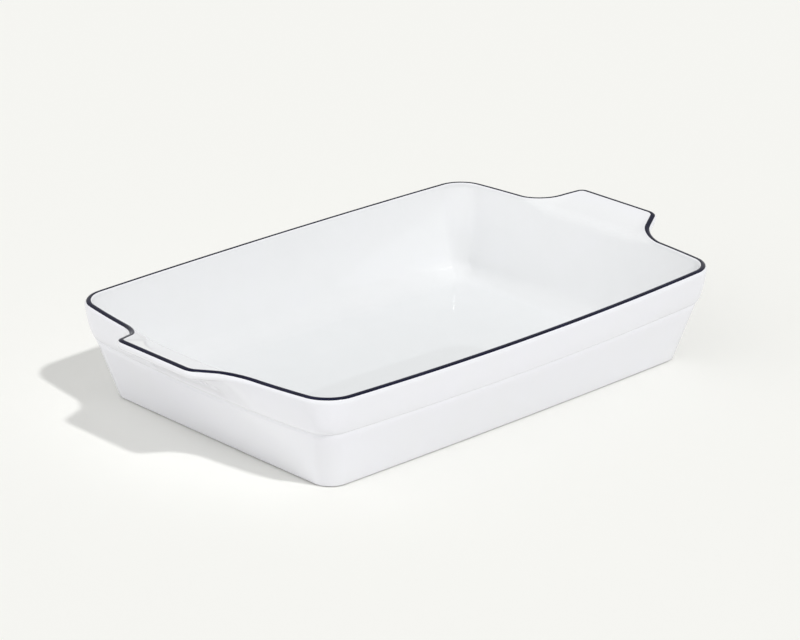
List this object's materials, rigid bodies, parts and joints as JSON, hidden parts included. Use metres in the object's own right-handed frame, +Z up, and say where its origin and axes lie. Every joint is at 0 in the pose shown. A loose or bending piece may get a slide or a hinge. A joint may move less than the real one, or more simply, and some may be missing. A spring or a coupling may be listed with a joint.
{
  "type": "baking dish",
  "caption": "Rectangular white glazed stoneware baking dish with tapered walls, a swelling rim collar, flat tab handles at both ends and a dark blue glaze line on the rim.",
  "frame": {"origin": "centre of the dish on the plane that it stands on", "axes": "+X along the dish through both handles, +Y across it, +Z up out of the open top"},
  "size_m": [0.409, 0.2496, 0.0707],
  "materials": {
    "white_glaze": "smooth glossy white glaze on stoneware",
    "navy_glaze": "glossy dark blue glaze line",
    "bare_stoneware": "matt unglazed stoneware foot"
  },
  "bodies": {
    "root": {"foot_ring": "bare_stoneware", "floor": "white_glaze", "lower_wall": "white_glaze", "rim_collar": "white_glaze", "left_handle": "white_glaze", "right_handle": "white_glaze", "rim_band": "navy_glaze"}
  },
  "joints": []
}
